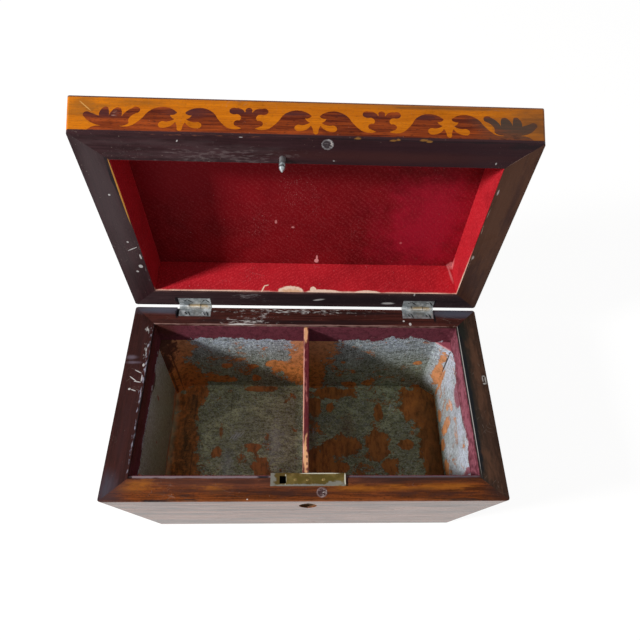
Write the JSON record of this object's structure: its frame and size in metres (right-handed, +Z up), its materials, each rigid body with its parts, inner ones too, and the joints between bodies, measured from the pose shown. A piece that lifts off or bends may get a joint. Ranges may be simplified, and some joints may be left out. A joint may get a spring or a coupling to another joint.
{
  "type": "sarcophagus box",
  "caption": "Veneered sarcophagus-shaped box with a hipped lid hinged open, a marquetry band, lined compartments and a box lock whose sliding bolt catches a stud.",
  "frame": {"origin": "centre of the underside, on the surface that the box stands on", "axes": "+X to the right, along the front; +Y to the back, where the hinges are; +Z up"},
  "size_m": [0.2468, 0.1783, 0.2392],
  "materials": {
    "polished_rosewood": "glossy polish",
    "rim_rosewood": "worn polish",
    "satinwood": "polished",
    "scroll_rosewood": "polished",
    "carcase_wood": "bare",
    "divider_wood": "worn bare",
    "disc_wood": "polished",
    "red_paper": "embossed paper",
    "maroon_paper": "paper",
    "foil": "wrinkled foil",
    "lock_brass": "tarnished",
    "hinge_metal": "tarnished",
    "iron": "dull"
  },
  "bodies": {
    "box": {"base_board": "carcase_wood", "body_back_rim": "rim_rosewood", "body_back_veneer": "polished_rosewood", "body_back_wall": "carcase_wood", "body_front_rim": "rim_rosewood", "body_front_veneer": "polished_rosewood", "body_front_wall": "carcase_wood", "body_left_rim": "rim_rosewood", "body_left_veneer": "polished_rosewood", "body_left_wall": "carcase_wood", "body_right_rim": "rim_rosewood", "body_right_veneer": "polished_rosewood", "body_right_wall": "carcase_wood", "body_rim_disc": "disc_wood", "corner_blocks_left": "carcase_wood", "corner_blocks_right": "carcase_wood", "divider": "divider_wood", "divider_paper": "red_paper", "foil_lining_left": "foil", "foil_lining_right": "foil", "hinge_body_screws": "iron", "hinge_left_body_leaf": "hinge_metal", "hinge_left_pin": "iron", "hinge_right_body_leaf": "hinge_metal", "hinge_right_pin": "iron", "lock_case": "lock_brass", "lock_key_post": "iron", "lock_plate": "lock_brass", "lock_rivets": "lock_brass", "lock_screws": "iron", "lock_spring": "iron", "upper_paper_band": "maroon_paper"},
    "lid": {"lid_back_band": "satinwood", "lid_back_hip_veneer": "polished_rosewood", "lid_back_rim": "rim_rosewood", "lid_back_wall": "carcase_wood", "lid_ceiling_paper": "red_paper", "lid_front_band_ground": "satinwood", "lid_front_band_scroll": "scroll_rosewood", "lid_front_hip_veneer": "polished_rosewood", "lid_front_rim": "rim_rosewood", "lid_front_wall": "carcase_wood", "lid_left_band": "satinwood", "lid_left_hip_veneer": "polished_rosewood", "lid_left_rim": "rim_rosewood", "lid_left_wall": "carcase_wood", "lid_right_band": "satinwood", "lid_right_hip_veneer": "polished_rosewood", "lid_right_rim": "rim_rosewood", "lid_right_wall": "carcase_wood", "lid_rim_disc": "disc_wood", "lid_stud": "lock_brass", "lid_top_panel": "carcase_wood", "lid_top_veneer": "polished_rosewood", "lid_wall_paper": "red_paper", "hinge_left_lid_leaf": "hinge_metal", "hinge_right_lid_leaf": "hinge_metal", "hinge_lid_screws": "iron"},
    "bolt": {"lock_bolt": "lock_brass"}
  },
  "joints": [
    {"name": "lid_hinge", "type": "hinge", "parent": "box", "child": "lid", "pos_m": [0, 0.07065, 0.09565], "axis": [1, 0, 0], "range_deg": [0, 90]},
    {"name": "lock_bolt_slide", "type": "slide", "parent": "box", "child": "bolt", "axis": [-1, 0, 0], "range_m": [0, 0.004]}
  ]
}
